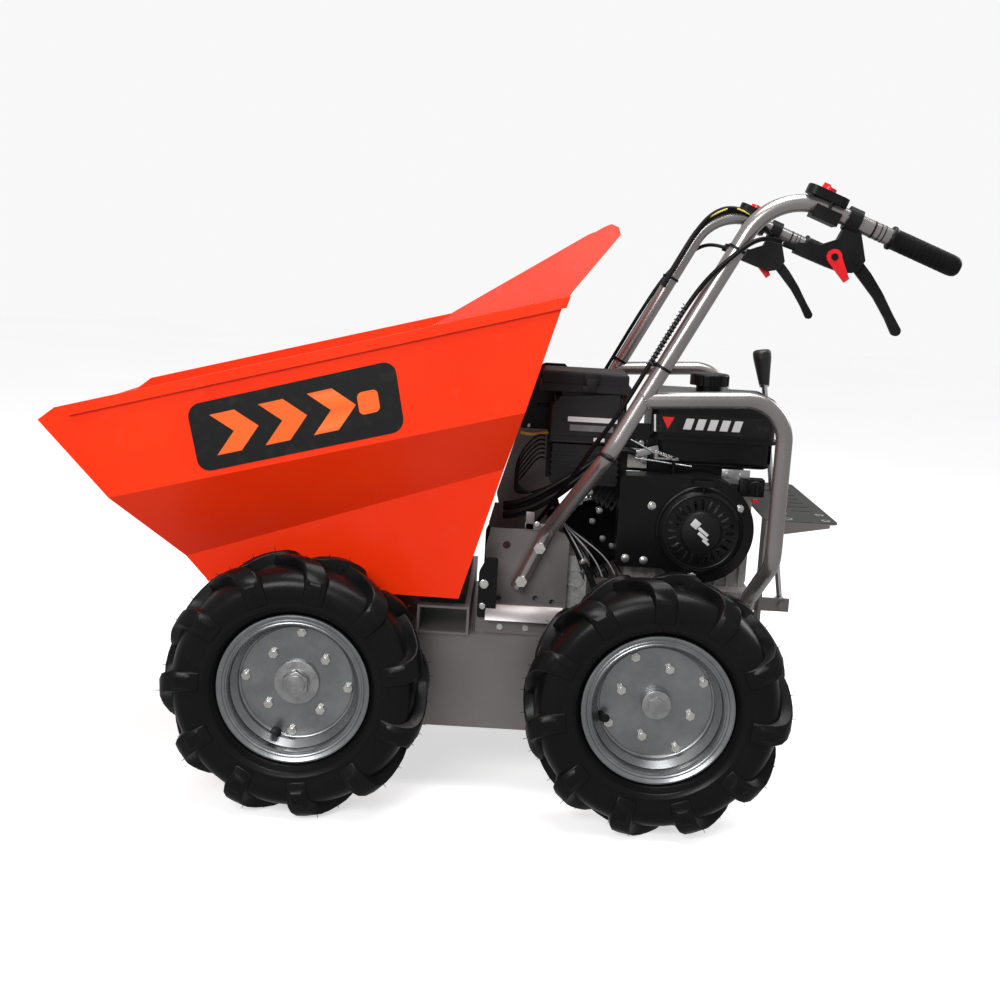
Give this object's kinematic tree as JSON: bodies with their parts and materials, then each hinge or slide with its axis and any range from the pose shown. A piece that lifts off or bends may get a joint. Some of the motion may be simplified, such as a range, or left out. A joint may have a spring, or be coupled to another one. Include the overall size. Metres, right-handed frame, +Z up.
{
  "type": "power wheelbarrow",
  "caption": "Petrol power wheelbarrow: forward-tipping sheet skip on a boxed chassis, lugged wheels, engine in tube guards and raised handles with levers.",
  "frame": {"origin": "middle of the overall length and width, on the ground", "axes": "+X forward towards the skip, +Y to the operator's left, +Z up"},
  "size_m": [1.3631, 0.706, 1.0054],
  "materials": {
    "skip_paint": "gloss",
    "frame_paint": "satin",
    "black_paint": "gloss",
    "zinc": "satin",
    "bright_steel": "polished",
    "cast_aluminium": "as cast",
    "cast_case": "painted",
    "dark_steel": "dull",
    "tyre_rubber": "satin",
    "grip_rubber": "matte",
    "black_plastic": "matte",
    "grey_plastic": "matte",
    "red_plastic": "gloss",
    "belt_rubber": "matte"
  },
  "bodies": {
    "chassis": {"air_cleaner_base": "grey_plastic", "air_cleaner_cover": "grey_plastic", "axle_bearings": "dark_steel", "belt_guard": "black_paint", "bracket_plate_left": "frame_paint", "bracket_plate_right": "frame_paint", "carburettor": "cast_aluminium", "chassis_channel": "frame_paint", "control_cables": "black_plastic", "cylinder": "cast_aluminium", "drive_belt": "belt_rubber", "drive_chains": "dark_steel", "engine_block": "cast_aluminium", "engine_deck": "frame_paint", "engine_switch": "black_plastic", "fan_shroud": "black_paint", "fasteners": "zinc", "fuel_tank": "black_paint", "gearbox_housing": "cast_case", "grips": "grip_rubber", "guard_tube_left": "frame_paint", "guard_tube_right": "frame_paint", "handle_tube_left": "frame_paint", "handle_tube_right": "frame_paint", "head_cover": "cast_aluminium", "hinge_brackets": "frame_paint", "perches": "black_plastic", "rear_console": "frame_paint", "rear_supports": "frame_paint", "recoil_cover": "black_paint", "rest_pads": "grip_rubber", "silencer": "black_paint", "skip_rest_beam": "frame_paint", "thumb_controls": "black_plastic", "upper_frame": "frame_paint"},
    "front_wheels": {"front_axle": "bright_steel", "front_rims": "zinc", "front_tyres": "tyre_rubber", "front_wheel_bolts": "zinc"},
    "rear_wheels": {"rear_axle": "bright_steel", "rear_rims": "zinc", "rear_tyres": "tyre_rubber", "rear_wheel_bolts": "zinc"},
    "gearbox_output": {"output_shaft": "bright_steel"},
    "gearbox_input": {"driven_pulley": "dark_steel"},
    "engine_crank": {"crankshaft": "bright_steel"},
    "skip": {"skip_tub": "skip_paint", "splash_guard": "skip_paint", "skip_lugs": "skip_paint"},
    "left_lever": {"lever_left": "black_plastic"},
    "right_lever": {"lever_right": "black_plastic"},
    "left_catch": {"catch_left": "red_plastic"},
    "right_catch": {"catch_right": "red_plastic"},
    "left_thumb": {"thumb_lever_left": "red_plastic"},
    "right_thumb": {"thumb_lever_right": "red_plastic"},
    "gear_stick": {"gear_lever": "bright_steel"},
    "tank_cap": {"fuel_cap": "black_plastic"},
    "pull_grip": {"starter_grip": "black_plastic"},
    "stop_key": {"switch_key": "red_plastic"},
    "throttle_arm": {"throttle_lever": "zinc"}
  },
  "joints": [
    {"name": "front_wheel_spin", "type": "hinge", "parent": "chassis", "child": "front_wheels", "pos_m": [0.2701, 0, 0.206], "axis": [0, 1, 0], "continuous": true},
    {"name": "rear_wheel_spin", "type": "hinge", "parent": "chassis", "child": "rear_wheels", "pos_m": [-0.2889, 0, 0.206], "axis": [0, 1, 0], "continuous": true},
    {"name": "output_shaft_spin", "type": "hinge", "parent": "chassis", "child": "gearbox_output", "pos_m": [-0.1074, 0, 0.206], "axis": [0, 1, 0], "continuous": true},
    {"name": "input_pulley_spin", "type": "hinge", "parent": "chassis", "child": "gearbox_input", "pos_m": [-0.1074, 0, 0.362], "axis": [0, 1, 0], "continuous": true},
    {"name": "crank_spin", "type": "hinge", "parent": "chassis", "child": "engine_crank", "pos_m": [-0.3544, 0, 0.455], "axis": [0, 1, 0], "continuous": true},
    {"name": "skip_tip", "type": "hinge", "parent": "chassis", "child": "skip", "pos_m": [0.3856, 0, 0.309], "axis": [0, 1, 0], "range_deg": [0, 75]},
    {"name": "left_lever_squeeze", "type": "hinge", "parent": "chassis", "child": "left_lever", "pos_m": [-0.5234, 0.313, 0.893], "axis": [0, 1, 0], "range_deg": [0, 38], "stiffness_Nm_per_rad": 0.4, "springref_deg": -20.05},
    {"name": "right_lever_squeeze", "type": "hinge", "parent": "chassis", "child": "right_lever", "pos_m": [-0.5234, -0.313, 0.893], "axis": [0, 1, 0], "range_deg": [0, 38], "stiffness_Nm_per_rad": 0.4, "springref_deg": -20.05},
    {"name": "left_catch_turn", "type": "hinge", "parent": "chassis", "child": "left_catch", "pos_m": [-0.4914, 0.313, 0.899], "axis": [0, 1, 0], "range_deg": [0, 28]},
    {"name": "right_catch_turn", "type": "hinge", "parent": "chassis", "child": "right_catch", "pos_m": [-0.4914, -0.313, 0.899], "axis": [0, 1, 0], "range_deg": [0, 28]},
    {"name": "left_thumb_turn", "type": "hinge", "parent": "chassis", "child": "left_thumb", "pos_m": [-0.47296, 0.313, 0.98162], "axis": [-0.3545, 0, 0.9351], "range_deg": [-80, 0]},
    {"name": "right_thumb_turn", "type": "hinge", "parent": "chassis", "child": "right_thumb", "pos_m": [-0.47296, -0.313, 0.98162], "axis": [-0.3545, 0, 0.9351], "range_deg": [-80, 0]},
    {"name": "gear_stick_tilt", "type": "hinge", "parent": "chassis", "child": "gear_stick", "pos_m": [-0.5464, -0.105, 0.281], "axis": [0, 1, 0], "range_deg": [-6, 6]},
    {"name": "tank_cap_turn", "type": "hinge", "parent": "chassis", "child": "tank_cap", "pos_m": [-0.3714, 0.004, 0.689], "axis": [0, 0, 1], "range_deg": [0, 90]},
    {"name": "pull_grip_slide", "type": "slide", "parent": "chassis", "child": "pull_grip", "axis": [0, 0, 1], "range_m": [0, 0.03]},
    {"name": "stop_key_turn", "type": "hinge", "parent": "chassis", "child": "stop_key", "pos_m": [-0.4424, 0.138, 0.525], "axis": [0, 1, 0], "range_deg": [0, 60]},
    {"name": "throttle_arm_turn", "type": "hinge", "parent": "chassis", "child": "throttle_arm", "pos_m": [-0.3094, 0.108, 0.563], "axis": [0, 0, 1], "range_deg": [-12, 20]}
  ],
  "couplings": [
    {"joint": "front_wheel_spin", "follows": "rear_wheel_spin", "ratio": 1},
    {"joint": "output_shaft_spin", "follows": "rear_wheel_spin", "ratio": 1},
    {"joint": "input_pulley_spin", "follows": "crank_spin", "ratio": 0.64}
  ]
}
